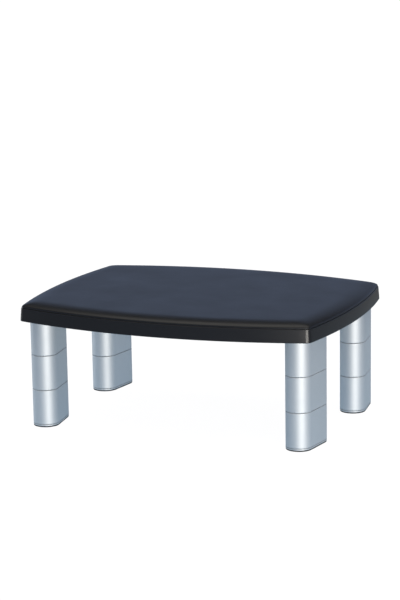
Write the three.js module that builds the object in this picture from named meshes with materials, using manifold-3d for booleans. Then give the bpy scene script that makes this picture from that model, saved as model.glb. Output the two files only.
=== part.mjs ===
// Height-adjustable monitor stand: a bowed moulded platform on four legs. Each leg is a stack of
// column blocks that snap onto one another, closed underneath by a foot cap with a rubber pad.
// Millimetres, +Z up, origin on the desk under the middle of the platform, front edge towards -Y.
import * as THREE from "three";
import { mergeVertices } from "three/addons/utils/BufferGeometryUtils.js";
import Module from "manifold-3d";

// Platform, seen from above
const platformWidth = 381;
const platformDepth = 304.8;
const frontArcRadius = 600; // bow of the front and back edges
const sideArcRadius = 670; // bow of the two sides
const cornerRadius = 8; // at the skirt's foot
const topCornerRadius = 16; // where the shoulder meets the flat top
const leastCornerRadius = 6; // inside corners never get sharper than this

// Platform, in section
const platformHeight = 22;
const skirtHeight = 15.4; // the frame's visible band
const skirtDraft = 1.2; // the band leans in by this much towards its top
const skirtWall = 3;
const panelThickness = 4;
const creaseStep = 0.8; // the panel starts this far inside the band's top edge
const panelRimRise = 0.7; // straight start of the shoulder
const shoulderReach = 22; // how far in the shoulder runs
const shoulderSteps = 5;
const lipDepth = 4.3; // locating lip of the panel, inside the band
const lipWall = 2;

// Ribs and screws under the platform
const ribBay = 38.1; // widest spacing between ribs
const ribThickness = 2.5;
const ribRecess = 1.5; // ribs stop this far above the band's foot
const screwColumns = [2, 4]; // rib numbers counted in from each end
const screwRow = 2;
const screwShankRadius = 1.5;
const screwHeadRadius = 3.2;
const screwHeadHeight = 2.2;
const screwTip = 2;
const recessLength = 3.8;
const recessWidth = 1;
const recessDepth = 1.2;
const bossWall = 2.2; // of the panel's screw bosses
const towerWall = 1.8; // of the frame's tubes around those bosses
const headSink = 0.6; // screw heads lie this far inside the tubes
const seatThickness = 3.5; // of the floor that a screw head pulls on

// Column blocks
const blocksPerLeg = 3;
const blockPitch = 41.275; // height that each block adds
const blockRadius = 15.4; // of the round ends
const blockStraight = 34.4; // flat length between the round ends
const blockWall = 2.4;
const deckThickness = 2.4;
const webThickness = 1.8;
const webSpread = 22; // between the two cross webs inside a block
const edgeBevel = 0.6;
const legMargin = 8.7; // from the platform's edge to the leg's outer face and nose

// Snap tenon on each block and foot cap, and the socket that it enters
const tenonHeight = 12;
const tenonWall = 2;
const tenonChamfer = 0.8;
const latchWidth = 8;
const latchProud = 0.9;
const latchHeight = 8.6; // of the bead's middle, above the tenon's foot
const latchLand = 0.3; // half the bead's flat crest
const latchRamp = 1;
const slotWidth = 1.2;
const slotDepth = 9.4;
const pocketDepth = 0.4; // extra depth of the pocket that the bead clicks into
const latchGap = 0.1; // running gap between bead and channel
const socketExtra = 1; // room above a seated tenon

// Foot
const padThickness = 1.5;
const padInset = 0.5;
const capThickness = 1.6;
const capBevel = 0.4;

// Fits
const seatGap = 0.3; // between faces that rest on each other
const tenonGap = 0.3; // around the tenon in its socket
const weld = 0.5; // overlap of solids that are joined
const past = 1; // how far a cut runs past a face

// Segments
const edgeSteps = 10; // of each bowed platform edge
const cornerSteps = 5; // of each platform corner
const endSteps = 8; // of each round end of a block
const screwSteps = 8;

// Worked-out heights
const footHeight = padThickness + capThickness + seatGap;
const blockBody = blockPitch - seatGap;
const platformFoot = footHeight + blocksPerLeg * blockPitch;
const panelUnderside = platformHeight - panelThickness;
const panelFoot = skirtHeight + seatGap;
const ribTop = panelUnderside - seatGap;
const lipFoot = panelFoot - lipDepth;
const socketDepth = tenonHeight + socketExtra;

// Worked-out insets from the platform's edge, and radii
const skirtInside = skirtDraft + skirtWall;
const rimInset = skirtDraft + creaseStep;
const lipOutside = skirtInside + seatGap;
const lipInside = lipOutside + lipWall;
const socketRadius = blockRadius - blockWall;
const tenonRadius = socketRadius - tenonGap;
const channelDepth = latchProud + latchGap - tenonGap;
const pilotRadius = screwShankRadius + seatGap;
const bossRadius = pilotRadius + bossWall;
const towerBore = bossRadius + seatGap;
const towerRadius = towerBore + towerWall;
const headBore = screwHeadRadius + seatGap;
const headSeat = ribRecess + headSink + screwHeadHeight + seatGap;
const bossFoot = headSeat + seatThickness + seatGap;

const wasm = await Module();
wasm.setup();

// ---- Solids --------------------------------------------------------------------------------

// A closed geometry as a solid that can be joined and cut.
function solid(geometry) {
  const bare = new THREE.BufferGeometry();
  bare.setAttribute("position", geometry.getAttribute("position"));
  bare.setIndex(geometry.index);
  const merged = mergeVertices(bare, 1e-4);
  return new wasm.Manifold(
    new wasm.Mesh({
      numProp: 3,
      vertProperties: merged.getAttribute("position").array,
      triVerts: new Uint32Array(merged.index.array),
    }),
  );
}

// A solid as a flat-shaded geometry.
function geometryOf(made) {
  const mesh = made.getMesh();
  const indexed = new THREE.BufferGeometry();
  indexed.setAttribute("position", new THREE.BufferAttribute(mesh.vertProperties, 3));
  indexed.setIndex(new THREE.BufferAttribute(mesh.triVerts, 1));
  const flat = indexed.toNonIndexed();
  flat.computeVertexNormals();
  return flat;
}

function joined(solids) {
  return solids.reduce((sum, next) => sum.add(next));
}

// A closed skin through outlines of equal point count, lowest first, each running anticlockwise.
function loft(rings) {
  const count = rings[0].points.length;
  const positions = rings.flatMap(({ points, z }) => points.flatMap((p) => [p.x, p.y, z]));
  const index = [];
  for (let level = 0; level < rings.length - 1; level++) {
    for (let i = 0; i < count; i++) {
      const a = level * count + i;
      const b = level * count + ((i + 1) % count);
      index.push(a, b, b + count, a, b + count, a + count);
    }
  }
  const top = (rings.length - 1) * count;
  for (const [a, b, c] of THREE.ShapeUtils.triangulateShape(rings[0].points, [])) {
    index.push(c, b, a);
  }
  for (const [a, b, c] of THREE.ShapeUtils.triangulateShape(rings.at(-1).points, [])) {
    index.push(top + a, top + b, top + c);
  }
  const geometry = new THREE.BufferGeometry();
  geometry.setAttribute("position", new THREE.Float32BufferAttribute(positions, 3));
  geometry.setIndex(index);
  return geometry;
}

function prism(points, low, high) {
  return loft([
    { points, z: low },
    { points, z: high },
  ]);
}

// A box between two corners.
function box(low, high) {
  const size = high.map((value, axis) => value - low[axis]);
  const middle = high.map((value, axis) => (value + low[axis]) / 2);
  return new THREE.BoxGeometry(...size).translate(...middle);
}

// A plain cylinder standing on `low`.
function post(radius, low, high) {
  const points = new THREE.ArcCurve(0, 0, radius, 0, 2 * Math.PI, false).getPoints(screwSteps);
  return prism(points.slice(0, -1), low, high);
}

// ---- Outlines ------------------------------------------------------------------------------

const frontCentre = new THREE.Vector2(0, frontArcRadius - platformDepth / 2);
const sideCentre = new THREE.Vector2(platformWidth / 2 - sideArcRadius, 0);

// Where the front arc, moved in by `front`, crosses the right side arc, moved in by `side`.
function arcCrossing(front, side) {
  const frontRadius = frontArcRadius - front;
  const sideRadius = sideArcRadius - side;
  const between = sideCentre.clone().sub(frontCentre);
  const gap = between.length();
  const along = (frontRadius ** 2 - sideRadius ** 2 + gap ** 2) / (2 * gap);
  const across = Math.sqrt(frontRadius ** 2 - along ** 2);
  const unit = between.normalize();
  return new THREE.Vector2(
    frontCentre.x + unit.x * along - unit.y * across,
    frontCentre.y + unit.y * along + unit.x * across,
  );
}

// The points of one arc but its last, which starts the next arc.
function arc(steps, x, y, radius, from, to) {
  return new THREE.ArcCurve(x, y, radius, from, to, false).getPoints(steps).slice(0, -1);
}

// The platform's outline moved in by `inset`: four bowed edges joined by round corners.
function outline(inset, corner = Math.max(cornerRadius - inset, leastCornerRadius)) {
  const centre = arcCrossing(inset + corner, inset + corner);
  const front = centre.clone().sub(frontCentre).angle() - 2 * Math.PI;
  const side = centre.clone().sub(sideCentre).angle() - 2 * Math.PI;
  const long = frontArcRadius - inset;
  const short = sideArcRadius - inset;
  return [
    ...arc(edgeSteps, frontCentre.x, frontCentre.y, long, -Math.PI - front, front),
    ...arc(cornerSteps, centre.x, centre.y, corner, front, side),
    ...arc(edgeSteps, sideCentre.x, sideCentre.y, short, side, -side),
    ...arc(cornerSteps, centre.x, -centre.y, corner, -side, -front),
    ...arc(edgeSteps, frontCentre.x, -frontCentre.y, long, -front, Math.PI + front),
    ...arc(cornerSteps, -centre.x, -centre.y, corner, Math.PI + front, Math.PI + side),
    ...arc(edgeSteps, -sideCentre.x, sideCentre.y, short, Math.PI + side, Math.PI - side),
    ...arc(cornerSteps, -centre.x, centre.y, corner, Math.PI - side, Math.PI - front),
  ];
}

// A leg's section: two half circles joined by straight flanks along Y.
function obround(radius) {
  const end = blockStraight / 2;
  return [
    ...new THREE.ArcCurve(0, end, radius, 0, Math.PI, false).getPoints(endSteps),
    ...new THREE.ArcCurve(0, -end, radius, Math.PI, 2 * Math.PI, false).getPoints(endSteps),
  ];
}

// ---- Legs' places --------------------------------------------------------------------------

const blockLength = blockStraight + 2 * blockRadius;
const legCentre = arcCrossing(legMargin + blockLength / 2, legMargin + blockRadius);
const legTurn = Math.atan2(-legCentre.y, legCentre.x - sideCentre.x); // follows the side's bow

const legs = [
  ["front_left", -1, -1],
  ["front_right", 1, -1],
  ["back_left", -1, 1],
  ["back_right", 1, 1],
].map(([name, right, back]) => ({
  name,
  x: right * legCentre.x,
  y: back * -legCentre.y,
  turn: right * back * legTurn,
}));

function atLeg(geometry, leg) {
  return geometry.rotateZ(leg.turn).translate(leg.x, leg.y, 0);
}

// ---- Snap tenon and socket -----------------------------------------------------------------

const flanks = [-1, 1];

// The bead on one spring finger, along Y, facing outwards from `x`.
function latchBead(x, flank) {
  const profile = new THREE.Shape([
    new THREE.Vector2(-weld, -latchLand - latchRamp),
    new THREE.Vector2(0, -latchLand - latchRamp),
    new THREE.Vector2(latchProud, -latchLand),
    new THREE.Vector2(latchProud, latchLand),
    new THREE.Vector2(0, latchLand + latchRamp),
    new THREE.Vector2(-weld, latchLand + latchRamp),
  ]);
  const bead = new THREE.ExtrudeGeometry(profile, { depth: latchWidth, bevelEnabled: false });
  bead.rotateX(Math.PI / 2).translate(x, latchWidth / 2, latchHeight);
  return flank > 0 ? bead : bead.rotateZ(Math.PI);
}

// The two slots that free the spring finger of one flank.
function fingerSlots(flank) {
  const inside = tenonRadius - tenonWall - past;
  const outside = tenonRadius + latchProud + past;
  return flanks.map((end) => {
    const near = latchWidth / 2;
    const far = near + slotWidth;
    const xs = [flank * inside, flank * outside].sort((a, b) => a - b);
    const ys = [end * near, end * far].sort((a, b) => a - b);
    return box([xs[0], ys[0], tenonHeight - slotDepth], [xs[1], ys[1], tenonHeight + past]);
  });
}

// A hollow tenon with two spring fingers, standing on z = 0 and rooted `weld` below it.
function snapTenon() {
  const wall = solid(
    loft([
      { points: obround(tenonRadius), z: -weld },
      { points: obround(tenonRadius), z: tenonHeight - tenonChamfer },
      { points: obround(tenonRadius - tenonChamfer), z: tenonHeight },
    ]),
  );
  const hollow = solid(prism(obround(tenonRadius - tenonWall), 0, tenonHeight + past));
  const beads = flanks.map((flank) => solid(latchBead(tenonRadius, flank)));
  const slots = flanks.flatMap((flank) => fingerSlots(flank).map(solid));
  return joined([wall.subtract(hollow), ...beads]).subtract(joined(slots));
}

// The space that a tenon enters from below: its bore, a channel for each bead and its pocket.
function socketGeometries() {
  const half = latchWidth / 2 + tenonGap;
  const beadMiddle = latchHeight - seatGap;
  const pocketHalf = latchLand + latchRamp + seatGap;
  const cuts = [prism(obround(socketRadius), -past, socketDepth)];
  for (const flank of flanks) {
    for (const [depth, low] of [
      [channelDepth, -past],
      [channelDepth + pocketDepth, beadMiddle - pocketHalf],
    ]) {
      const xs = [flank * (socketRadius - past), flank * (socketRadius + depth)];
      xs.sort((a, b) => a - b);
      cuts.push(box([xs[0], -half, low], [xs[1], half, beadMiddle + pocketHalf]));
    }
  }
  return cuts;
}

// ---- Column block --------------------------------------------------------------------------

function blockWebs() {
  const low = socketDepth;
  const high = blockBody - weld;
  const webs = flanks.map((side) => {
    const y = (side * webSpread) / 2;
    return box([-blockRadius, y - webThickness / 2, low], [blockRadius, y + webThickness / 2, high]);
  });
  return joined(webs.map(solid)).intersect(solid(prism(obround(socketRadius + weld), low, high)));
}

function columnBlock() {
  const skin = solid(
    loft([
      { points: obround(blockRadius - edgeBevel), z: 0 },
      { points: obround(blockRadius), z: edgeBevel },
      { points: obround(blockRadius), z: blockBody - edgeBevel },
      { points: obround(blockRadius - edgeBevel), z: blockBody },
    ]),
  );
  const hollow = solid(prism(obround(socketRadius), -past, blockBody - deckThickness));
  const tenon = snapTenon().translate([0, 0, blockBody]);
  return joined([skin.subtract(hollow), blockWebs(), tenon]).subtract(
    joined(socketGeometries().map(solid)),
  );
}

// ---- Foot ----------------------------------------------------------------------------------

function footCap() {
  const plate = solid(
    loft([
      { points: obround(blockRadius - capBevel), z: 0 },
      { points: obround(blockRadius), z: capBevel },
      { points: obround(blockRadius), z: capThickness - capBevel },
      { points: obround(blockRadius - capBevel), z: capThickness },
    ]),
  );
  return plate.add(snapTenon().translate([0, 0, capThickness]));
}

function footPad() {
  return solid(
    loft([
      { points: obround(blockRadius - padInset - capBevel), z: 0 },
      { points: obround(blockRadius - padInset), z: capBevel },
      { points: obround(blockRadius - padInset), z: padThickness },
    ]),
  );
}

// ---- Platform ------------------------------------------------------------------------------

// Rib lines across a length, evenly spaced and no further apart than one bay.
function ribLines(length) {
  const bays = Math.ceil(length / ribBay - 1e-6);
  return Array.from({ length: bays - 1 }, (_, i) => (length * (i + 1)) / bays - length / 2);
}

const ribColumns = ribLines(platformWidth);
const ribRows = ribLines(platformDepth);

const screwPlaces = [];
for (const number of screwColumns) {
  for (const x of [ribColumns.at(number - 1), ribColumns.at(-number)]) {
    for (const y of [ribRows.at(screwRow - 1), ribRows.at(-screwRow)]) {
      screwPlaces.push([x, y]);
    }
  }
}

function ribGrid() {
  const half = ribThickness / 2;
  const across = platformWidth / 2;
  const along = platformDepth / 2;
  return joined([
    ...ribColumns.map((x) => solid(box([x - half, -along, ribRecess], [x + half, along, ribTop]))),
    ...ribRows.map((y) => solid(box([-across, y - half, ribRecess], [across, y + half, ribTop]))),
  ]);
}

// The ribs reach the band below the panel's lip, and stop short of the lip beside it.
function ribs() {
  const low = prism(outline(skirtInside - weld), ribRecess, lipFoot - seatGap);
  const high = prism(outline(lipInside + seatGap), ribRecess, ribTop);
  return ribGrid().intersect(solid(low).add(solid(high)));
}

function platformFrame() {
  const band = solid(
    loft([
      { points: outline(edgeBevel), z: 0 },
      { points: outline(0), z: edgeBevel },
      { points: outline(skirtDraft), z: skirtHeight - edgeBevel },
      { points: outline(skirtDraft + edgeBevel), z: skirtHeight },
    ]),
  ).subtract(solid(prism(outline(skirtInside), -past, skirtHeight + past)));
  const bosses = legs.map((leg) => solid(atLeg(prism(obround(blockRadius), 0, ribTop), leg)));
  const towers = screwPlaces.map(([x, y]) =>
    solid(post(towerRadius, ribRecess, ribTop).translate(x, y, 0)),
  );
  const sockets = legs.flatMap((leg) => [
    ...socketGeometries().map((cut) => solid(atLeg(cut, leg))),
    solid(atLeg(prism(obround(socketRadius), socketDepth + deckThickness, ribTop + past), leg)),
  ]);
  const bores = screwPlaces.flatMap(([x, y]) =>
    [
      post(headBore, ribRecess - past, headSeat),
      post(pilotRadius, headSeat - past, bossFoot),
      post(towerBore, bossFoot - seatGap, ribTop + past),
    ].map((cut) => solid(cut.translate(x, y, 0))),
  );
  return joined([band, ribs(), ...bosses, ...towers]).subtract(joined([...sockets, ...bores]));
}

// The panel's rounded shoulder, from its foot up to the flat top.
function shoulderRings() {
  const start = panelFoot + panelRimRise;
  const rise = platformHeight - start;
  const footCorner = cornerRadius - rimInset;
  const rings = [{ points: outline(rimInset, footCorner), z: panelFoot }];
  for (let step = 0; step <= shoulderSteps; step++) {
    const turn = (step / shoulderSteps) * (Math.PI / 2);
    const inward = 1 - Math.cos(turn);
    const corner = THREE.MathUtils.lerp(footCorner, topCornerRadius, inward);
    const points = outline(rimInset + shoulderReach * inward, corner);
    rings.push({ points, z: start + rise * Math.sin(turn) });
  }
  return rings;
}

function platformPanel() {
  const lip = solid(prism(outline(lipOutside), lipFoot, panelUnderside + weld));
  const hollow = solid(prism(outline(lipInside), lipFoot - past, panelUnderside));
  const bosses = screwPlaces.map(([x, y]) =>
    solid(post(bossRadius, bossFoot, panelUnderside + weld).translate(x, y, 0)),
  );
  const pilots = screwPlaces.map(([x, y]) =>
    solid(post(pilotRadius, bossFoot - past, panelUnderside).translate(x, y, 0)),
  );
  return joined([solid(loft(shoulderRings())), lip])
    .subtract(hollow)
    .add(joined(bosses))
    .subtract(joined(pilots));
}

// A pan-head screw with a cross recess, its head down, standing on z = 0.
function panelScrew() {
  const seat = screwHeadHeight;
  const tip = panelUnderside - seatGap - ribRecess - headSink;
  const profile = [
    [0, 0],
    [screwHeadRadius * 0.7, 0],
    [screwHeadRadius, seat * 0.5],
    [screwHeadRadius, seat],
    [screwShankRadius, seat],
    [screwShankRadius, tip - screwTip],
    [0, tip],
  ].map(([radius, height]) => new THREE.Vector2(radius, height));
  const body = new THREE.LatheGeometry(profile, screwSteps).rotateX(Math.PI / 2);
  const arm = recessLength / 2;
  const half = recessWidth / 2;
  const recess = solid(box([-arm, -half, -past], [arm, half, recessDepth])).add(
    solid(box([-half, -arm, -past], [half, arm, recessDepth])),
  );
  return solid(body).subtract(recess);
}

// ---- Materials and assembly ----------------------------------------------------------------

const blackPlastic = new THREE.MeshStandardMaterial({ color: 0x17181b, roughness: 0.42, metalness: 0 });
const frameBlack = new THREE.MeshStandardMaterial({ color: 0x16171a, roughness: 0.5, metalness: 0 });
const silverPaint = new THREE.MeshStandardMaterial({ color: 0xa9b3ba, roughness: 0.34, metalness: 0.75 });
const rubber = new THREE.MeshStandardMaterial({ color: 0x0c0c0d, roughness: 0.85, metalness: 0 });
const zincSteel = new THREE.MeshStandardMaterial({ color: 0x9a9c9f, roughness: 0.35, metalness: 1 });

const stand = new THREE.Group();

function addPiece(name, geometry, material, parent = stand) {
  const mesh = new THREE.Mesh(geometry, material);
  mesh.name = name;
  parent.add(mesh);
  return mesh;
}

addPiece("platform_panel", geometryOf(platformPanel()), blackPlastic).position.z = platformFoot;
addPiece("platform_frame", geometryOf(platformFrame()), frameBlack).position.z = platformFoot;

const screwGeometry = geometryOf(panelScrew());
screwPlaces.forEach(([x, y], i) => {
  const screw = addPiece(`panel_screw_${i + 1}`, screwGeometry, zincSteel);
  screw.position.set(x, y, platformFoot + ribRecess + headSink);
});

const blockGeometry = geometryOf(columnBlock());
const capGeometry = geometryOf(footCap());
const padGeometry = geometryOf(footPad());
const levelNames = ["lower", "middle", "upper"];

for (const leg of legs) {
  const stack = new THREE.Group();
  stack.position.set(leg.x, leg.y, 0);
  stack.rotation.z = leg.turn;
  stand.add(stack);
  addPiece(`${leg.name}_foot_pad`, padGeometry, rubber, stack);
  addPiece(`${leg.name}_foot_cap`, capGeometry, silverPaint, stack).position.z = padThickness;
  for (let level = 0; level < blocksPerLeg; level++) {
    const name = `${leg.name}_${levelNames[level]}_block`;
    const block = addPiece(name, blockGeometry, silverPaint, stack);
    block.position.z = footHeight + level * blockPitch;
  }
}

export default stand;
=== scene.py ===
import math

import bpy
from mathutils import Matrix, Vector


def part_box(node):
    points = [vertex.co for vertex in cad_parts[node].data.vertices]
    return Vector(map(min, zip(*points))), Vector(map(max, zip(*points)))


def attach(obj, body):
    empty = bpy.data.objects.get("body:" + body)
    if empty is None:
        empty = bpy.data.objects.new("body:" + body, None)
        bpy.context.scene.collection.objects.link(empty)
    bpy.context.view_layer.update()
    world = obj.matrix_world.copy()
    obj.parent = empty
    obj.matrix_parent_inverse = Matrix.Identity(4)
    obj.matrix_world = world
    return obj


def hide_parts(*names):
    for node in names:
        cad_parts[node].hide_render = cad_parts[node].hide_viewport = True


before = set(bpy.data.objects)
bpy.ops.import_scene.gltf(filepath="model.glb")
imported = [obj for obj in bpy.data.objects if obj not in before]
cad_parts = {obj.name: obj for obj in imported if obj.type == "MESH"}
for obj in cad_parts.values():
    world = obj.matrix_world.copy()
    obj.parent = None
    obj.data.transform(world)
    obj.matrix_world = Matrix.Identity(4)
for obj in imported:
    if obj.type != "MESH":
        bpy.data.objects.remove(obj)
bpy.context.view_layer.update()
print("frame loaded:", len(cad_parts), "nodes")

hair = 0.000001  # places closer than this count as one
ringWeld = 0.000005  # a drawn outline's end and start are merged within this
skinWeld = 0.000002
levelFace = 0.99  # how upright the normal of a level face is, at least
smoothUnder = 35  # degrees between faces that are shaded as one surface
weld = 0.0005  # overlap of solids that are joined
past = 0.001  # how far a cut runs past a face


def deselectAll():
    if bpy.context.object and bpy.context.object.mode == "EDIT":
        bpy.ops.object.mode_set(mode="OBJECT")
    bpy.ops.object.select_all(action="DESELECT")


def pickOnly(piece):
    deselectAll()
    piece.select_set(True)
    bpy.context.view_layer.objects.active = piece


def clearPicks(piece, kind):
    # leaves the piece in object mode with nothing in it picked
    pickOnly(piece)
    bpy.ops.object.mode_set(mode="EDIT")
    bpy.ops.mesh.select_mode(type=kind)
    bpy.ops.mesh.select_all(action="DESELECT")
    bpy.ops.object.mode_set(mode="OBJECT")


def editFaces(piece, wanted):
    # opens the piece for editing with only the faces picked for which wanted(face) holds
    clearPicks(piece, "FACE")
    for face in piece.data.polygons:
        face.select = wanted(face)
    bpy.ops.object.mode_set(mode="EDIT")


def editEdges(piece, wanted):
    # the same for edges: wanted(a, b) gets the places of both ends
    clearPicks(piece, "EDGE")
    points = [vertex.co for vertex in piece.data.vertices]
    for edge in piece.data.edges:
        edge.select = wanted(points[edge.vertices[0]], points[edge.vertices[1]])
    bpy.ops.object.mode_set(mode="EDIT")


def doneEditing():
    bpy.ops.object.mode_set(mode="OBJECT")


def extrude(x, y, z):
    bpy.ops.mesh.extrude_region_move(TRANSFORM_OT_translate={"value": (x, y, z)})


def drawRing(name, start, moves):
    # one vertex, spun round centres and pulled along straight stretches, back to its start
    deselectAll()
    bpy.ops.mesh.primitive_plane_add(size=0.01)
    piece = bpy.context.object
    piece.name = piece.data.name = name
    bpy.ops.object.mode_set(mode="EDIT")
    bpy.ops.mesh.select_mode(type="VERT")
    bpy.ops.mesh.select_all(action="SELECT")
    bpy.ops.mesh.merge(type="CENTER")
    bpy.ops.transform.translate(value=start)
    for move in moves:
        if "centre" in move:
            x, y = move["centre"]
            centre = (x, y, start[2])
            bpy.ops.mesh.spin(steps=move["steps"], angle=-move["turn"], center=centre, axis=(0, 0, 1))
        else:
            extrude(*move["pull"], 0)
    bpy.ops.mesh.select_all(action="SELECT")
    bpy.ops.mesh.remove_doubles(threshold=ringWeld)
    doneEditing()
    return piece


def fillRing(piece):
    pickOnly(piece)
    bpy.ops.object.mode_set(mode="EDIT")
    bpy.ops.mesh.select_all(action="SELECT")
    bpy.ops.mesh.edge_face_add()
    doneEditing()
    return piece


def rimOf(height):
    # picks the edges that lie at one height
    return lambda a, b: abs(a.z - height) < hair and abs(b.z - height) < hair


def stackRings(rings, heights):
    # rings of equal point count, lowest first, bridged into one closed skin
    pickOnly(rings[0])
    for ring in rings:
        ring.select_set(True)
    bpy.ops.object.join()
    piece = bpy.context.object
    for low, high in zip(heights, heights[1:]):
        lower, upper = rimOf(low), rimOf(high)
        editEdges(piece, lambda a, b: lower(a, b) or upper(a, b))
        bpy.ops.mesh.bridge_edge_loops()
        doneEditing()
    for height in (heights[0], heights[-1]):
        editEdges(piece, rimOf(height))
        bpy.ops.mesh.edge_face_add()
        doneEditing()
    facesOut(piece)
    return piece


def quarterRound(radius, steps):
    # how far in and how far up the points of a rounded edge lie, from its lowest
    turns = [step / steps * math.pi / 2 for step in range(steps + 1)]
    return [(radius * (1 - math.sin(turn)), radius * (1 - math.cos(turn))) for turn in turns]


def boxPiece(name, low, high):
    deselectAll()
    size = [b - a for a, b in zip(low, high)]
    middle = [(a + b) / 2 for a, b in zip(low, high)]
    bpy.ops.mesh.primitive_cube_add(size=1)
    piece = bpy.context.object
    piece.name = piece.data.name = name
    bpy.ops.object.mode_set(mode="EDIT")
    bpy.ops.transform.resize(value=size)
    bpy.ops.transform.translate(value=middle)
    doneEditing()
    return piece


def postPiece(name, x, y, radius, low, high, sides):
    deselectAll()
    bpy.ops.mesh.primitive_cylinder_add(vertices=sides, radius=radius, depth=high - low)
    piece = bpy.context.object
    piece.name = piece.data.name = name
    bpy.ops.object.mode_set(mode="EDIT")
    bpy.ops.transform.translate(value=(x, y, (low + high) / 2))
    doneEditing()
    return piece


def carve(piece, tool, operation):
    # boolean with a tool that is then thrown away
    pickOnly(piece)
    cut = piece.modifiers.new(operation.title(), "BOOLEAN")
    cut.operation = operation
    cut.solver = "MANIFOLD"
    cut.object = tool
    bpy.ops.object.modifier_apply(modifier=cut.name)
    bpy.data.objects.remove(tool)


def facesOut(piece):
    pickOnly(piece)
    bpy.ops.object.mode_set(mode="EDIT")
    bpy.ops.mesh.select_all(action="SELECT")
    bpy.ops.mesh.remove_doubles(threshold=skinWeld)
    bpy.ops.mesh.normals_make_consistent(inside=False)
    doneEditing()


def smoothShade(piece):
    pickOnly(piece)
    bpy.ops.object.shade_smooth_by_angle(angle=math.radians(smoothUnder))


def movedMesh(piece, x, y, z, turn):
    # the object stays at the origin, and its mesh is turned and moved
    piece.data.transform(Matrix.Translation((x, y, z)) @ Matrix.Rotation(turn, 4, "Z"))
    return piece


def placedCopy(piece, name, x, y, z, turn):
    copy = piece.copy()
    copy.data = piece.data.copy()
    copy.name = copy.data.name = name
    bpy.context.collection.objects.link(copy)
    return movedMesh(copy, x, y, z, turn)


frameLow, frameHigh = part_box("platform_frame")

platform = {
    "width": frameHigh.x - frameLow.x,
    "depth": frameHigh.y - frameLow.y,
    "foot": frameLow.z,  # height of the skirt's lower edge above the desk
    "top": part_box("platform_panel")[1].z,
    "longBow": 0.600,  # radius of the front and back edges
    "shortBow": 0.670,  # radius of the two sides
    "corner": 0.008,
    "leastCorner": 0.006,  # of the inside corners
    "longSteps": 24,  # half of each long edge
    "shortSteps": 38,
    "cornerSteps": 12,
}

skirt = {
    "height": 0.0154,
    "draft": 0.0012,
    "wall": 0.003,
    "edge": 0.0006,
    "edgeSteps": 3,
    "ribBay": 0.0381,
    "rib": 0.0025,
    "ribRecess": 0.0015,
    "ribMerge": 0.01,  # radians between the grid's faces that are merged into one rib
}

panel = {
    "gap": 0.0003,  # between panel and skirt, the dark line round the platform
    "step": 0.0008,  # how far the panel starts inside the skirt's top edge
    "rise": 0.0007,
    "reach": 0.022,  # of the rounded shoulder
    "topCorner": 0.016,  # where the shoulder meets the flat top
    "footEdge": 0.0002,
    "shoulderSteps": 12,
    "thickness": 0.004,
    "lipDepth": 0.0043,
    "lipWall": 0.002,
    "topInset": 0.004,
}

frontCentre = Vector((0, platform["longBow"] - platform["depth"] / 2))
sideCentre = Vector((platform["width"] / 2 - platform["shortBow"], 0))


def arcCrossing(front, side):
    # where the front arc moved in by `front` meets the right side arc moved in by `side`
    frontRadius = platform["longBow"] - front
    sideRadius = platform["shortBow"] - side
    between = sideCentre - frontCentre
    gap = between.length
    along = (frontRadius**2 - sideRadius**2 + gap**2) / (2 * gap)
    across = math.sqrt(frontRadius**2 - along**2)
    unit = between.normalized()
    return frontCentre + unit * along + Vector((-unit.y, unit.x)) * across


def angleOf(vector):
    return math.atan2(vector.y, vector.x)


def platformRing(name, inset, height, corner=None):
    # the bowed outline moved in by `inset`, drawn anticlockwise from the middle of the front edge
    if corner is None:
        corner = max(platform["corner"] - inset, platform["leastCorner"])
    centre = arcCrossing(inset + corner, inset + corner)
    front = angleOf(centre - frontCentre)
    side = angleOf(centre - sideCentre)
    x, y = centre
    quarter = front + math.pi / 2
    long, short = platform["longSteps"], platform["shortSteps"]
    turn = {"turn": side - front, "steps": platform["cornerSteps"]}
    moves = [
        {"centre": frontCentre, "turn": quarter, "steps": long},
        {"centre": (x, y), **turn},
        {"centre": sideCentre, "turn": -2 * side, "steps": short},
        {"centre": (x, -y), **turn},
        {"centre": -frontCentre, "turn": 2 * quarter, "steps": 2 * long},
        {"centre": (-x, -y), **turn},
        {"centre": -sideCentre, "turn": -2 * side, "steps": short},
        {"centre": (-x, y), **turn},
        {"centre": frontCentre, "turn": quarter, "steps": long},
    ]
    return drawRing(name, (0, inset - platform["depth"] / 2, height), moves)


def platformPrism(name, inset, low, high):
    piece = fillRing(platformRing(name, inset, low))
    editFaces(piece, lambda face: True)
    extrude(0, 0, high - low)
    facesOut(piece)
    return piece


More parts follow.
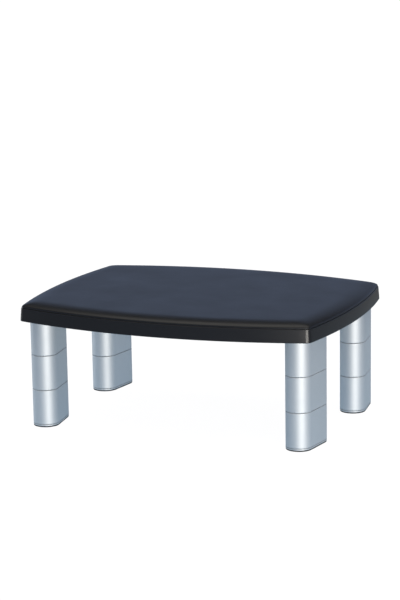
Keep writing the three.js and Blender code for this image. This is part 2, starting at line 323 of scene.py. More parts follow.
def makePanel():
    foot = platform["foot"] + skirt["height"] + panel["gap"]
    inset = skirt["draft"] + panel["step"]
    footCorner = max(platform["corner"] - inset, 0)
    edge = panel["footEdge"]
    levels = [(inset + edge, footCorner, foot), (inset, footCorner, foot + edge)]
    start = foot + panel["rise"]
    for step in range(panel["shoulderSteps"] + 1):
        turn = step / panel["shoulderSteps"] * math.pi / 2
        inward = 1 - math.cos(turn)
        corner = footCorner + (panel["topCorner"] - footCorner) * inward
        height = start + (platform["top"] - start) * math.sin(turn)
        levels.append((inset + panel["reach"] * inward, corner, height))
    rings = [platformRing("platformPanel", inset, height, corner) for inset, corner, height in levels]
    piece = stackRings(rings, [height for inset, corner, height in levels])
    editFaces(piece, lambda face: face.normal.z > levelFace and face.center.z > platform["top"] - hair)
    bpy.ops.mesh.inset(thickness=panel["topInset"])
    doneEditing()
    # underneath: a lip that locates it in the skirt, the hollow above and the screw bosses
    inside = skirt["draft"] + skirt["wall"] + panel["gap"]
    underside = platform["top"] - panel["thickness"]
    lipFoot = foot - panel["lipDepth"]
    carve(piece, platformPrism("lip", inside, lipFoot, underside + weld), "UNION")
    hollow = platformPrism("hollow", inside + panel["lipWall"], lipFoot - past, underside)
    carve(piece, hollow, "DIFFERENCE")
    for x, y in screwPlaces:
        boss = postPiece("boss", x, y, screw["boss"], bossFoot, underside + weld, screw["sides"])
        carve(piece, boss, "UNION")
        radius = screw["shank"] + screw["gap"]
        pilot = postPiece("pilot", x, y, radius, bossFoot - past, underside, screw["sides"])
        carve(piece, pilot, "DIFFERENCE")
    smoothShade(piece)
    return piece


def bayCount(length):
    return math.ceil(length / skirt["ribBay"] - hair)


def ribLattice(foot, top):
    # a grid of panels, each one inset and cleared away, leaves the ribs
    deselectAll()
    across, along = bayCount(platform["width"]), bayCount(platform["depth"])
    bpy.ops.mesh.primitive_grid_add(x_subdivisions=across, y_subdivisions=along, size=1)
    piece = bpy.context.object
    bpy.ops.object.mode_set(mode="EDIT")
    bpy.ops.mesh.select_mode(type="FACE")
    bpy.ops.transform.resize(value=(platform["width"], platform["depth"], 1))
    bpy.ops.transform.translate(value=(0, 0, foot))
    bpy.ops.mesh.inset(thickness=skirt["rib"] / 2, use_individual=True)
    bpy.ops.mesh.delete(type="FACE")
    bpy.ops.mesh.select_all(action="SELECT")
    bpy.ops.mesh.dissolve_limited(angle_limit=skirt["ribMerge"])
    bpy.ops.mesh.select_all(action="SELECT")
    extrude(0, 0, top - foot)
    doneEditing()
    facesOut(piece)
    return piece


def makeSkirt():
    # the drafted outer band, its edges rounded, hollowed straight through
    foot, top = platform["foot"], platform["foot"] + skirt["height"]
    rounded = quarterRound(skirt["edge"], skirt["edgeSteps"])
    levels = [(inward, foot + up) for inward, up in rounded]
    levels += [(skirt["draft"] + inward, top - up) for inward, up in reversed(rounded)]
    # a ring beside each rounded edge keeps the band between them flat
    slope = skirt["draft"] / (skirt["height"] - 2 * skirt["edge"])
    aside = skirt["edge"]
    middle = skirt["edgeSteps"] + 1
    levels[middle:middle] = [
        (slope * aside, foot + skirt["edge"] + aside),
        (skirt["draft"] - slope * aside, top - skirt["edge"] - aside),
    ]
    rings = [platformRing("platformSkirt", inset, height) for inset, height in levels]
    piece = stackRings(rings, [height for inset, height in levels])
    inside = skirt["draft"] + skirt["wall"]
    carve(piece, platformPrism("hollow", inside, foot - past, top + past), "DIFFERENCE")
    return piece


column = {
    "radius": 0.0154,  # of the round ends
    "straight": 0.0344,  # flat length between them
    "endSteps": 28,
    "margin": 0.0087,  # from the platform's edge to the leg
    "wall": 0.0024,
    "deck": 0.0024,
    "web": 0.0018,
    "webSpread": 0.022,
    "bevel": 0.0006,
    "bevelSteps": 3,
    "flankRing": 1.5,  # how far from a rim the next ring lies, against the rim's radius
    "gap": 0.0003,  # between stacked blocks
}

tenon = {
    "height": 0.012,
    "wall": 0.002,
    "gap": 0.0003,  # all round it in the socket
    "chamfer": 0.0008,
    "chamferSteps": 2,
    "latch": 0.008,  # width of the snap bead
    "proud": 0.0009,
    "latchHeight": 0.0086,
    "latchHalf": 0.0013,
    "slot": 0.0012,
    "slotDepth": 0.0094,
    "play": 0.0001,
    "pocket": 0.0004,
    "socketDepth": 0.013,
}

screw = {
    "shank": 0.0015,
    "head": 0.0032,
    "headHeight": 0.0022,
    "dome": 0.0011,  # radius of the head's rounded edge
    "domeSteps": 4,
    "sink": 0.0006,
    "gap": 0.0003,
    "boss": 0.004,  # radius of the panel's boss that the shank enters
    "seat": 0.0035,  # thickness of the floor under the head
    "towerWall": 0.0018,
    "slot": 0.0038,
    "slotWidth": 0.001,
    "slotDepth": 0.0012,
    "sides": 24,
    "taper": 0.002,  # length of the pointed end
    "point": 0.1,  # its width, as a share of the shank
    "stopTurn": 1.1,  # each recess ends up turned by this much more than the last
}

columnLength = column["straight"] + 2 * column["radius"]
legPlace = arcCrossing(column["margin"] + columnLength / 2, column["margin"] + column["radius"])
legTurn = math.atan2(-legPlace.y, legPlace.x - sideCentre.x)  # follows the bow of the side

legs = {
    f"{end}_{side}": {"x": right * legPlace.x, "y": -back * legPlace.y, "turn": right * back * legTurn}
    for end, back in (("front", -1), ("back", 1))
    for side, right in (("left", -1), ("right", 1))
}


def columnRing(name, radius, height):
    end = column["straight"] / 2
    moves = [
        {"centre": (0, end), "turn": math.pi, "steps": column["endSteps"]},
        {"pull": (0, -column["straight"])},
        {"centre": (0, -end), "turn": math.pi, "steps": column["endSteps"]},
        {"pull": (0, column["straight"])},
    ]
    return drawRing(name, (radius, end, height), moves)


def roundedColumn(name, radius, high, edge, steps):
    # a column on the floor with rounded rims; the extra rings beside them keep its flanks flat
    rounded = quarterRound(edge, steps) + [(0, column["flankRing"] * edge)]
    levels = [(radius - inward, up) for inward, up in rounded]
    levels += [(radius - inward, high - up) for inward, up in reversed(rounded)]
    return stackRings([columnRing(name, *level) for level in levels], [height for _, height in levels])


def columnPrism(name, radius, low, high):
    piece = fillRing(columnRing(name, radius, low))
    editFaces(piece, lambda face: True)
    extrude(0, 0, high - low)
    facesOut(piece)
    return piece


socketRadius = column["radius"] - column["wall"]
tenonRadius = socketRadius - tenon["gap"]


def channelTools():
    # a channel for the two beads of a tenon, and the pocket that they click into
    half = tenon["latch"] / 2 + tenon["gap"]
    middle = tenon["latchHeight"] - column["gap"]
    channel = tenon["proud"] + tenon["play"] - tenon["gap"]
    low, high = middle - tenon["latchHalf"] - column["gap"], middle + tenon["latchHalf"] + column["gap"]
    reach = socketRadius + channel
    deep = reach + tenon["pocket"]
    return [
        boxPiece("channel", (-reach, -half, -past), (reach, half, high)),
        boxPiece("pocket", (-deep, -half, low), (deep, half, high)),
    ]


def raiseTenon(piece, level, outside):
    # on the flat face at `level`, whose rim has the radius `outside`
    editFaces(piece, lambda face: face.normal.z > levelFace and abs(face.center.z - level) < hair)
    bpy.ops.mesh.inset(thickness=outside - tenonRadius)
    extrude(0, 0, tenon["height"])
    bpy.ops.mesh.inset(thickness=tenon["wall"])
    extrude(0, 0, -tenon["height"])
    doneEditing()
    top = level + tenon["height"]
    outer = tenonRadius - tenon["wall"] / 2
    half = column["straight"] / 2

    def outerRim(a, b):
        ends = [math.hypot(p.x, max(abs(p.y) - half, 0)) > outer for p in (a, b)]
        return all(ends) and rimOf(top)(a, b)

    editEdges(piece, outerRim)
    bpy.ops.mesh.bevel(offset=tenon["chamfer"], segments=tenon["chamferSteps"])
    doneEditing()
    for side in (-1, 1):
        carve(piece, latchBead(side, level), "UNION")
        for end in (-1, 1):
            near, far = tenon["latch"] / 2, tenon["latch"] / 2 + tenon["slot"]
            ys = sorted((end * near, end * far))
            xs = sorted((side * (tenonRadius - tenon["wall"] - past), side * (tenonRadius + 2 * past)))
            low = (xs[0], ys[0], top - tenon["slotDepth"])
            carve(piece, boxPiece("slot", low, (xs[1], ys[1], top + past)), "DIFFERENCE")


def latchBead(side, level):
    # a small bar on the spring finger, its two outer edges sloped off
    middle = level + tenon["latchHeight"]
    half = tenon["latchHalf"]
    out = side * (tenonRadius + tenon["proud"])
    xs = sorted((side * (tenonRadius - weld), out))
    low = (xs[0], -tenon["latch"] / 2, middle - half)
    bead = boxPiece("latchBead", low, (xs[1], tenon["latch"] / 2, middle + half))
    editEdges(bead, lambda a, b: abs(a.x - out) < hair and abs(b.x - out) < hair and abs(a.z - b.z) < hair)
    bpy.ops.mesh.bevel(offset=tenon["proud"], segments=1)
    doneEditing()
    return bead


def makeBlock(height):
    body = height - column["gap"]
    piece = roundedColumn("columnBlock", column["radius"], body, column["bevel"], column["bevelSteps"])
    editFaces(piece, lambda face: face.normal.z < -levelFace)
    bpy.ops.mesh.inset(thickness=column["wall"] - column["bevel"])
    extrude(0, 0, body - column["deck"])
    doneEditing()
    raiseTenon(piece, body, column["radius"] - column["bevel"])
    for side in (-1, 1):
        y = side * column["webSpread"] / 2
        wide = socketRadius + weld
        low = (-wide, y - column["web"] / 2, tenon["socketDepth"])
        high = (wide, y + column["web"] / 2, body - weld)
        carve(piece, boxPiece("web", low, high), "UNION")
    for tool in channelTools():
        carve(piece, tool, "DIFFERENCE")
    smoothShade(piece)
    return piece


foot = {
    "cap": 0.0016,
    "capBevel": 0.0002,
    "pad": 0.0015,
    "padInset": 0.0002,
    "padEdge": 0.0003,
    "padSteps": 3,
    "grooveInset": 0.0022,
    "groove": 0.0012,
    "grooveDepth": 0.0005,
}


def makeFootCap():
    piece = roundedColumn("footCap", column["radius"], foot["cap"], foot["capBevel"], column["bevelSteps"])
    raiseTenon(piece, foot["cap"], column["radius"] - foot["capBevel"])
    smoothShade(piece)
    return piece


def makeFootPad():
    radius = column["radius"] - foot["padInset"]
    piece = columnPrism("footPad", radius, 0, foot["pad"])
    editEdges(piece, rimOf(0))
    bpy.ops.mesh.bevel(offset=foot["padEdge"], segments=foot["padSteps"])
    doneEditing()
    # a moulded groove all round the underside
    outside = radius - foot["padEdge"] - foot["grooveInset"]
    groove = columnPrism("groove", outside, -past, foot["grooveDepth"])
    core = columnPrism("core", outside - foot["groove"], -2 * past, 2 * past)
    carve(groove, core, "DIFFERENCE")
    carve(piece, groove, "DIFFERENCE")
    smoothShade(piece)
    return piece


def makeScrew():
    # pan head down, with a cross recess, standing on its head
    tip = platform["top"] - panel["thickness"] - panel["gap"] - platform["foot"]
    tip -= skirt["ribRecess"] + screw["sink"]
    sides = screw["sides"]
    piece = postPiece("panelScrew", 0, 0, screw["head"], 0, screw["headHeight"], sides)
    editEdges(piece, rimOf(0))
    bpy.ops.mesh.bevel(offset=screw["dome"], segments=screw["domeSteps"])
    doneEditing()
    editFaces(piece, lambda face: face.normal.z > levelFace)
    bpy.ops.mesh.inset(thickness=screw["head"] - screw["shank"])
    extrude(0, 0, tip - screw["headHeight"] - screw["taper"])
    extrude(0, 0, screw["taper"])
    bpy.ops.transform.resize(value=(screw["point"], screw["point"], 1), center_override=(0, 0, tip))
    doneEditing()
    arm, half = screw["slot"] / 2, screw["slotWidth"] / 2
    carve(piece, boxPiece("slotX", (-arm, -half, -past), (arm, half, screw["slotDepth"])), "DIFFERENCE")
    carve(piece, boxPiece("slotY", (-half, -arm, -past), (half, arm, screw["slotDepth"])), "DIFFERENCE")
    smoothShade(piece)
    return piece


def ribPlaces(length):
    bays = bayCount(length)
    return [length * (i + 1) / bays - length / 2 for i in range(bays - 1)]


headSeat = platform["foot"] + skirt["ribRecess"] + screw["sink"] + screw["headHeight"] + screw["gap"]
bossFoot = headSeat + screw["seat"] + screw["gap"]
ribColumns, ribRows = ribPlaces(platform["width"]), ribPlaces(platform["depth"])
screwPlaces = [
    (x, y)
    for number in (2, 4)
    for x in (ribColumns[number - 1], ribColumns[-number])
    for y in (ribRows[1], ribRows[-2])
]


def makeFrame():
    low = platform["foot"]
    top = platform["top"] - panel["thickness"] - panel["gap"]
    inside = skirt["draft"] + skirt["wall"]
    lipFoot = low + skirt["height"] - panel["lipDepth"]  # a gap below the panel's lip
    lipInside = inside + panel["gap"] + panel["lipWall"] + panel["gap"]
    ribFoot = low + skirt["ribRecess"]
    # ribs: full width under the panel's lip, narrower beside it
    room = platformPrism("room", inside - weld, low - past, lipFoot)
    carve(room, platformPrism("upperRoom", lipInside, low, top + past), "UNION")
    ribs = ribLattice(ribFoot, top)
    carve(ribs, room, "INTERSECT")
    piece = makeSkirt()
    carve(piece, ribs, "UNION")
    for place in legs.values():
        boss = columnPrism("boss", column["radius"], 0, top - low)
        spot = (place["x"], place["y"], low, place["turn"])
        carve(piece, movedMesh(boss, *spot), "UNION")
    for x, y in screwPlaces:
        radius = screw["boss"] + screw["gap"] + screw["towerWall"]
        carve(piece, postPiece("tower", x, y, radius, ribFoot, top, screw["sides"]), "UNION")
    for place in legs.values():
        spot = (place["x"], place["y"], low, place["turn"])
        bore = columnPrism("bore", socketRadius, -past, tenon["socketDepth"])
        above = columnPrism("above", socketRadius, tenon["socketDepth"] + column["deck"], top - low + past)
        for tool in [bore, above] + channelTools():
            carve(piece, movedMesh(tool, *spot), "DIFFERENCE")
    for x, y in screwPlaces:
        for radius, start, end in (
            (screw["head"] + screw["gap"], low - past, headSeat),
            (screw["shank"] + screw["gap"], headSeat - past, bossFoot),
            (screw["boss"] + screw["gap"], bossFoot - screw["gap"], top + past),
        ):
            carve(piece, postPiece("bore", x, y, radius, start, end, screw["sides"]), "DIFFERENCE")
    smoothShade(piece)
    return piece


def newGroup(name, inputs, outputs):
    group = bpy.data.node_groups.new(name, "ShaderNodeTree")
    for label, value in inputs.items():
        socket = group.interface.new_socket(label, in_out="INPUT", socket_type="NodeSocketFloat")
        socket.default_value = value
    for label in outputs:
        group.interface.new_socket(label, in_out="OUTPUT", socket_type="NodeSocketFloat")
    return group, group.nodes.new("NodeGroupInput"), group.nodes.new("NodeGroupOutput")


def addNode(tree, kind, options=None, **values):
    node = tree.nodes.new("ShaderNode" + kind)
    for option, value in (options or {}).items():
        setattr(node, option, value)
    for label, value in values.items():
        node.inputs[label].default_value = value
    return node


def mathNode(tree, operation, first, second):
    node = addNode(tree, "Math", {"operation": operation})
    for socket, value in zip(node.inputs, (first, second)):
        if isinstance(value, (int, float)):
            socket.default_value = value
        else:
            tree.links.new(value, socket)
    return node.outputs[0]


def remapNode(tree, source, low, high, newLow, newHigh):
    node = addNode(tree, "MapRange", {"interpolation_type": "SMOOTHSTEP"})
    for label, value in (("From Min", low), ("From Max", high), ("To Min", newLow), ("To Max", newHigh)):
        node.inputs[label].default_value = value
    tree.links.new(source, node.inputs["Value"])
    return node.outputs[0]


def noiseNode(tree, coordinates, scale, detail, roughness):
    node = addNode(tree, "TexNoise", Detail=detail, Roughness=roughness)
    tree.links.new(coordinates, node.inputs["Vector"])
    if isinstance(scale, (int, float)):
        node.inputs["Scale"].default_value = scale
    else:
        tree.links.new(scale, node.inputs["Scale"])
    return node.outputs[0]


grainShape = {
    "smooth": 0.6,  # of the pits' walls
    "finer": 1.7,  # how much finer the noise over the pits is
    "noise": 0.5,  # its share of the height
    "waveScale": 260,
    "speckle": (0.35, 0.7),  # heights between which a speckle comes up
}


def buildGrain():
    # fine texture of a spark-eroded mould: rounded pits with softer waves under them
    controls = {"Pits per metre": 1800, "Waves": 0.35}
    group, inside, out = newGroup("mouldGrain", controls, ["Height", "Speckle"])
    place = addNode(group, "TexCoord").outputs["Object"]
    cells = addNode(group, "TexVoronoi", {"feature": "SMOOTH_F1"}, Smoothness=grainShape["smooth"])
    group.links.new(place, cells.inputs["Vector"])
    group.links.new(inside.outputs["Pits per metre"], cells.inputs["Scale"])
    fineScale = mathNode(group, "MULTIPLY", inside.outputs["Pits per metre"], grainShape["finer"])
    fine = noiseNode(group, place, fineScale, 3, 0.6)
    swell = noiseNode(group, place, grainShape["waveScale"], 2, 0.5)
    waves = mathNode(group, "MULTIPLY", swell, inside.outputs["Waves"])
    over = mathNode(group, "MULTIPLY", fine, grainShape["noise"])
    pits = mathNode(group, "ADD", cells.outputs["Distance"], over)
    group.links.new(mathNode(group, "ADD", pits, waves), out.inputs["Height"])
    group.links.new(remapNode(group, fine, *grainShape["speckle"], 0, 1), out.inputs["Speckle"])
    return group


streakShape = {
    "slant": 0.3,  # radians
    "scale": (26, 420, 120),
    "rubbed": (0.62, 0.78),  # noise between which a streak comes up
}


def buildHandling():
    # broad uneven polish from hands and cloths, with a few fine rubbed streaks
    group, inside, out = newGroup("handling", {"Blotch size": 22, "Streaks": 0.3}, ["Shift"])
    place = addNode(group, "TexCoord").outputs["Object"]
    broad = noiseNode(group, place, inside.outputs["Blotch size"], 4, 0.55)
    stretch = addNode(group, "Mapping", Rotation=(0, 0, streakShape["slant"]), Scale=streakShape["scale"])
    group.links.new(place, stretch.inputs["Vector"])
    streak = noiseNode(group, stretch.outputs["Vector"], 1, 2, 0.5)
    rubbed = remapNode(group, streak, *streakShape["rubbed"], 0, 1)
    both = mathNode(group, "ADD", broad, mathNode(group, "MULTIPLY", rubbed, inside.outputs["Streaks"]))
    group.links.new(mathNode(group, "SUBTRACT", both, 0.5), out.inputs["Shift"])
    return group


wearShape = {
    "samples": 4,
    "turned": (0.995, 0.86),  # cosine between the two normals, from no wear to full
    "patches": (0.4, 0.62),
    "least": 0.15,  # wear left between the patches
    "polish": 0.08,  # how much smoother a worn edge is
}


def buildEdgeWear():
    # edges rubbed smoother and paler: where a rounded normal leaves the true one
    group, inside, out = newGroup("edgeWear", {"Reach": 0.0008, "Breakup": 90}, ["Mask"])
    place = addNode(group, "TexCoord").outputs["Object"]
    rounded = addNode(group, "Bevel", {"samples": wearShape["samples"]})
    group.links.new(inside.outputs["Reach"], rounded.inputs["Radius"])
    true = addNode(group, "NewGeometry").outputs["Normal"]
    match = addNode(group, "VectorMath", {"operation": "DOT_PRODUCT"})
    group.links.new(rounded.outputs["Normal"], match.inputs[0])
    group.links.new(true, match.inputs[1])
    edge = remapNode(group, match.outputs["Value"], *wearShape["turned"], 0, 1)
    broken = noiseNode(group, place, inside.outputs["Breakup"], 4, 0.6)
    patchy = remapNode(group, broken, *wearShape["patches"], wearShape["least"], 1)
    group.links.new(mathNode(group, "MULTIPLY", edge, patchy), out.inputs["Mask"])
    return group


mouldGrain = buildGrain()
handling = buildHandling()
edgeWear = buildEdgeWear()


def placeGroup(tree, group, **values):
    node = tree.nodes.new("ShaderNodeGroup")
    node.node_tree = group
    for label, value in values.items():
        node.inputs[label.replace("_", " ")].default_value = value
    return node


def blendColours(tree, mask, first, second):
    node = addNode(tree, "Mix", {"data_type": "RGBA"})
    tree.links.new(mask, node.inputs["Factor"])
    for socket, value in ((node.inputs[6], first), (node.inputs[7], second)):
        if isinstance(value, tuple):
            socket.default_value = (*value, 1)
        else:
            tree.links.new(value, socket)
    return node.outputs[2]


def newMaterial(name):
    material = bpy.data.materials.new(name)
    material.use_nodes = True
    tree = material.node_tree
    return material, tree, tree.nodes["Principled BSDF"]


def raiseGrain(tree, shader, grain, look):
    bump = addNode(tree, "Bump", Strength=look["bump"], Distance=look["depth"])
    tree.links.new(grain.outputs["Height"], bump.inputs["Height"])
    tree.links.new(bump.outputs["Normal"], shader.inputs["Normal"])


def plasticMaterial(name, look):
    material, tree, shader = newMaterial(name)
    grain = placeGroup(tree, mouldGrain, Pits_per_metre=look["pits"], Waves=look["waves"])
    touch = placeGroup(tree, handling, Blotch_size=look["blotch"], Streaks=look["streaks"])
    wear = placeGroup(tree, edgeWear, Reach=look["edge"])
    speckled = blendColours(tree, grain.outputs["Speckle"], look["colour"], look["speckle"])
    worn = blendColours(tree, wear.outputs["Mask"], speckled, look["worn"])
    tree.links.new(worn, shader.inputs["Base Color"])
    shift = mathNode(tree, "MULTIPLY", touch.outputs["Shift"], look["uneven"])
    rough = mathNode(tree, "ADD", shift, look["roughness"])
    polish = mathNode(tree, "MULTIPLY", wear.outputs["Mask"], wearShape["polish"])
    tree.links.new(mathNode(tree, "SUBTRACT", rough, polish), shader.inputs["Roughness"])
    raiseGrain(tree, shader, grain, look)
    shader.inputs["Specular IOR Level"].default_value = look["specular"]
    return material


def silverMaterial(name, look):
    # metallic fleck in a satin clear coat over grey plastic
    material, tree, shader = newMaterial(name)
    place = addNode(tree, "TexCoord").outputs["Object"]
    flakes = addNode(tree, "TexVoronoi", Scale=look["flakes"])
    tree.links.new(place, flakes.inputs["Vector"])
    tint = addNode(tree, "SeparateColor")
    tree.links.new(flakes.outputs["Color"], tint.inputs[0])
    touch = placeGroup(tree, handling, Blotch_size=look["blotch"], Streaks=look["streaks"])
    wear = placeGroup(tree, edgeWear, Reach=look["edge"])
    grain = placeGroup(tree, mouldGrain, Pits_per_metre=look["pits"], Waves=look["waves"])
    fleck = blendColours(tree, tint.outputs[0], look["colour"], look["fleck"])
    worn = blendColours(tree, wear.outputs["Mask"], fleck, look["worn"])
    tree.links.new(worn, shader.inputs["Base Color"])
    shift = mathNode(tree, "MULTIPLY", touch.outputs["Shift"], look["uneven"])
    glint = mathNode(tree, "MULTIPLY", tint.outputs[1], look["glint"])
    rough = mathNode(tree, "ADD", mathNode(tree, "ADD", shift, look["roughness"]), glint)
    tree.links.new(rough, shader.inputs["Roughness"])
    shader.inputs["Metallic"].default_value = look["metallic"]
    shader.inputs["Specular Tint"].default_value = (*look["rim"], 1)
    shader.inputs["Coat Weight"].default_value = look["coat"]
    shader.inputs["Coat Roughness"].default_value = look["coatRoughness"]
    raiseGrain(tree, shader, grain, look)
    return material


looks = {
    "panel": {
        "colour": (0.0060, 0.0066, 0.0080),
        "speckle": (0.0100, 0.0110, 0.0130),
        "worn": (0.022, 0.023, 0.026),
        "roughness": 0.36,
        "uneven": 0.10,
        "specular": 0.28,
        "pits": 1700,
        "waves": 0.35,
        "bump": 0.22,
        "depth": 0.00006,
        "blotch": 20,
        "streaks": 0.25,
        "edge": 0.0008,
    },
    "skirt": {
        "colour": (0.0058, 0.0062, 0.0074),
        "speckle": (0.0092, 0.0098, 0.0115),
        "worn": (0.024, 0.025, 0.028),
        "roughness": 0.30,
        "uneven": 0.08,
        "specular": 0.35,
        "pits": 1500,
        "waves": 0.4,
        "bump": 0.18,
        "depth": 0.00006,
        "blotch": 26,
        "streaks": 0.2,
        "edge": 0.0006,
    },
    "rubber": {
        "colour": (0.010, 0.010, 0.011),
        "speckle": (0.019, 0.018, 0.018),
        "worn": (0.040, 0.039, 0.037),
        "roughness": 0.78,
        "uneven": 0.16,
        "specular": 0.3,
        "pits": 2600,
        "waves": 0.8,
        "bump": 0.5,
        "depth": 0.0001,
        "blotch": 60,
        "streaks": 0.5,
        "edge": 0.0005,
    },
    "silver": {
        "colour": (0.55, 0.57, 0.58),
        "fleck": (0.62, 0.64, 0.65),
        "worn": (0.67, 0.68, 0.69),
        "rim": (0.45, 0.48, 0.5),  # darker where it is seen edge on
        "roughness": 0.58,
        "uneven": 0.08,
        "glint": 0.05,
        "metallic": 0.86,
        "coat": 0.25,
        "coatRoughness": 0.18,
        "flakes": 7000,
        "pits": 2400,
        "waves": 0.5,
        "bump": 0.10,
        "depth": 0.00004,
        "blotch": 30,
        "streaks": 0.3,
        "edge": 0.0005,
    },
    "zinc": {
        "colour": (0.46, 0.46, 0.45),
        "fleck": (0.56, 0.55, 0.52),
        "worn": (0.68, 0.67, 0.64),
        "rim": (0.9, 0.9, 0.9),
        "roughness": 0.32,
        "uneven": 0.2,
        "glint": 0.04,
        "metallic": 1.0,
        "coat": 0.0,
        "coatRoughness": 0.1,
        "flakes": 2500,
        "pits": 3200,
        "waves": 0.6,
        "bump": 0.2,
        "depth": 0.00004,
        "blotch": 200,
        "streaks": 0.6,
        "edge": 0.0003,
    },
}

panelBlack = plasticMaterial("panelBlack", looks["panel"])
skirtBlack = plasticMaterial("skirtBlack", looks["skirt"])
padRubber = plasticMaterial("padRubber", looks["rubber"])
legSilver = silverMaterial("legSilver", looks["silver"])
screwZinc = silverMaterial("screwZinc", looks["zinc"])
print("finishes made")


def finishPiece(piece, name, material, body, node):
    piece.name = piece.data.name = name
    piece.data.materials.clear()
    piece.data.materials.append(material)
    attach(piece, body)
    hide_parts(node)


def camel(words):
    first, *rest = words.split("_")
    return first + "".join(word.title() for word in rest)


finishPiece(makePanel(), "platformPanel", panelBlack, "platform", "platform_panel")
finishPiece(makeFrame(), "platformFrame", skirtBlack, "platform", "platform_frame")
print("platform made")

screwModel = makeScrew()
for number, (x, y) in enumerate(screwPlaces, 1):
    node = f"panel_screw_{number}"
    piece = placedCopy(screwModel, node, x, y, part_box(node)[0].z, number * screw["stopTurn"])
    finishPiece(piece, camel(node), screwZinc, "platform", node)
bpy.data.objects.remove(screwModel)

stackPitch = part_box("front_left_middle_block")[0].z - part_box("front_left_lower_block")[0].z
blockModel, capModel, padModel = makeBlock(stackPitch), makeFootCap(), makeFootPad()
for leg, place in legs.items():
    parts = [
        (f"{leg}_{level}", blockModel, legSilver, "leg_silver")
        for level in ("lower_block", "middle_block", "upper_block")
    ]
    parts.append((f"{leg}_foot_cap", capModel, legSilver, "leg_silver"))
    parts.append((f"{leg}_foot_pad", padModel, padRubber, "pad_rubber"))
    for node, model, material, slot in parts:
        body = f"{leg}_foot" if "foot" in node else node
        copy = placedCopy(model, node, place["x"], place["y"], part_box(node)[0].z, place["turn"])
        finishPiece(copy, camel(node), material, body, node)
for model in (blockModel, capModel, padModel):
    bpy.data.objects.remove(model)
print("legs and screws made")

studio = {
    "floorSize": 60,
    "floorColour": (0.26, 0.26, 0.26),
    "floorRoughness": 0.9,
    "floorGlow": (0.95, 0.95, 0.96),  # the floor is a light table, so nothing casts a hard shadow on it
    "floorBounce": (0.28, 0.42, 0.55),  # the same glow as it lights the stand and shows in its gloss
    "floorFar": (0.03, 0.035, 0.04),  # and far from the stand, beyond the table
    "tableReach": (0.55, 0.85),  # where the light table fades, in metres from the middle
    "floorClear": 0.6,  # how far the camera sees through it, so that a piece pulled down still shows
    "horizon": (0.33, 0.42, 0.63),
    "dusk": (0.045, 0.045, 0.05),
    "zenith": (1.75, 1.68, 1.56),
    "duskRamp": (0.26, 0.44),  # where one turns into the next, as the sine of the height
    "zenithRamp": (0.70, 0.90),
    "backdrop": (1, 1, 1),  # what is seen behind the stand
    "frontStrip": {
        "azimuth": -48,
        "height": 0.18,
        "distance": 2.6,
        "size": (1.6, 0.34),
        "power": 54,
        "colour": (1, 0.95, 0.89),
    },
    "backStrip": {
        "azimuth": 172,
        "height": 0.18,
        "distance": 2.6,
        "size": (0.9, 0.34),
        "power": 12,
        "colour": (0.97, 0.98, 1),
    },
}

camera = {
    "turn": 22.52,  # degrees round from the front, to the right
    "tilt": 13.56,
    "roll": -0.93,
    "distance": 2.62,
    "aim": 0.075,  # height that it looks at
    "focal": 132.4,
    "sensor": 36,
    "farClip": 200,
    "shiftX": -0.006,
    "shiftY": 0.0873,
}


def makeCamera():
    turn, tilt, roll = (math.radians(camera[key]) for key in ("turn", "tilt", "roll"))
    forward = Vector((-math.sin(turn) * math.cos(tilt), math.cos(turn) * math.cos(tilt), -math.sin(tilt)))
    right = Vector((math.cos(turn), math.sin(turn), 0))
    up = right.cross(forward)
    right, up = right * math.cos(roll) + up * math.sin(roll), up * math.cos(roll) - right * math.sin(roll)
    place = Vector((0, 0, camera["aim"])) - forward * camera["distance"]
    bpy.ops.object.camera_add()
    made = bpy.context.object
    made.name = "studioCamera"
    made.matrix_world = Matrix.Translation(place) @ Matrix((right, up, -forward)).transposed().to_4x4()
    made.data.lens = camera["focal"]
    made.data.sensor_width = camera["sensor"]
    made.data.shift_x, made.data.shift_y = camera["shiftX"], camera["shiftY"]
    made.data.clip_end = camera["farClip"]
    bpy.context.scene.camera = made


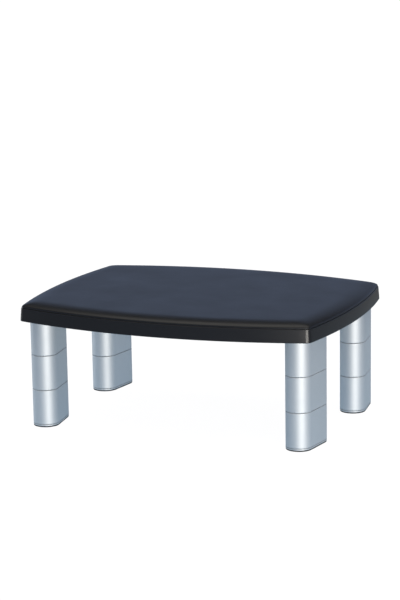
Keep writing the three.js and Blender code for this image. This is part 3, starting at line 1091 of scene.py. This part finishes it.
def makeFloor():
    deselectAll()
    bpy.ops.mesh.primitive_plane_add(size=studio["floorSize"])
    floor = bpy.context.object
    floor.name = "studioFloor"
    material, tree, shader = newMaterial("paleFloor")
    shader.inputs["Base Color"].default_value = (*studio["floorColour"], 1)
    shader.inputs["Roughness"].default_value = studio["floorRoughness"]
    shader.inputs["Specular IOR Level"].default_value = 0.0
    seen = addNode(tree, "LightPath").outputs["Is Camera Ray"]
    away = addNode(tree, "VectorMath", {"operation": "LENGTH"})
    tree.links.new(addNode(tree, "TexCoord").outputs["Object"], away.inputs[0])
    beyond = remapNode(tree, away.outputs["Value"], *studio["tableReach"], 0, 1)
    bounce = blendColours(tree, beyond, studio["floorBounce"], studio["floorFar"])
    glow = blendColours(tree, seen, bounce, studio["floorGlow"])
    tree.links.new(glow, shader.inputs["Emission Color"])
    shader.inputs["Emission Strength"].default_value = 1
    # milky from above, and clear from below so that the underside can be looked at
    below = addNode(tree, "NewGeometry").outputs["Backfacing"]
    milky = mathNode(tree, "MULTIPLY", seen, studio["floorClear"])
    clear = addNode(tree, "BsdfTransparent")
    table = addNode(tree, "MixShader")
    tree.links.new(mathNode(tree, "MAXIMUM", milky, below), table.inputs[0])
    tree.links.new(shader.outputs[0], table.inputs[1])
    tree.links.new(clear.outputs[0], table.inputs[2])
    tree.links.new(table.outputs[0], tree.nodes["Material Output"].inputs["Surface"])
    floor.data.materials.append(material)


def softbox(name, azimuth, height, distance, size, power, colour):
    # an area light that faces the middle of the stand
    angle = math.radians(azimuth)
    place = Vector((math.cos(angle) * distance, math.sin(angle) * distance, height))
    bpy.ops.object.light_add(type="AREA")
    lamp = bpy.context.object
    lamp.name = lamp.data.name = name
    lamp.data.shape = "RECTANGLE"
    lamp.data.size, lamp.data.size_y = size
    lamp.data.energy = power
    lamp.data.color = colour
    aim = Vector((0, 0, camera["aim"])) - place
    lamp.matrix_world = Matrix.Translation(place) @ aim.to_track_quat("-Z", "Y").to_matrix().to_4x4()


def makeSky():
    # a soft white ceiling over dark walls, with a dim cool glow along the horizon
    world = bpy.data.worlds.new("studioSky")
    world.use_nodes = True
    tree = world.node_tree
    direction = addNode(tree, "TexCoord").outputs["Generated"]
    split = addNode(tree, "SeparateXYZ")
    tree.links.new(direction, split.inputs[0])
    low = remapNode(tree, split.outputs["Z"], *studio["duskRamp"], 0, 1)
    high = remapNode(tree, split.outputs["Z"], *studio["zenithRamp"], 0, 1)
    walls = blendColours(tree, low, studio["horizon"], studio["dusk"])
    sky = blendColours(tree, high, walls, studio["zenith"])
    seen = addNode(tree, "LightPath").outputs["Is Camera Ray"]
    colour = blendColours(tree, seen, sky, studio["backdrop"])
    tree.links.new(colour, tree.nodes["Background"].inputs["Color"])
    bpy.context.scene.world = world


deselectAll()
makeCamera()
makeFloor()
softbox("frontStrip", **studio["frontStrip"])
softbox("backStrip", **studio["backStrip"])
makeSky()
bpy.context.scene.view_settings.view_transform = "Standard"
print("studio made")
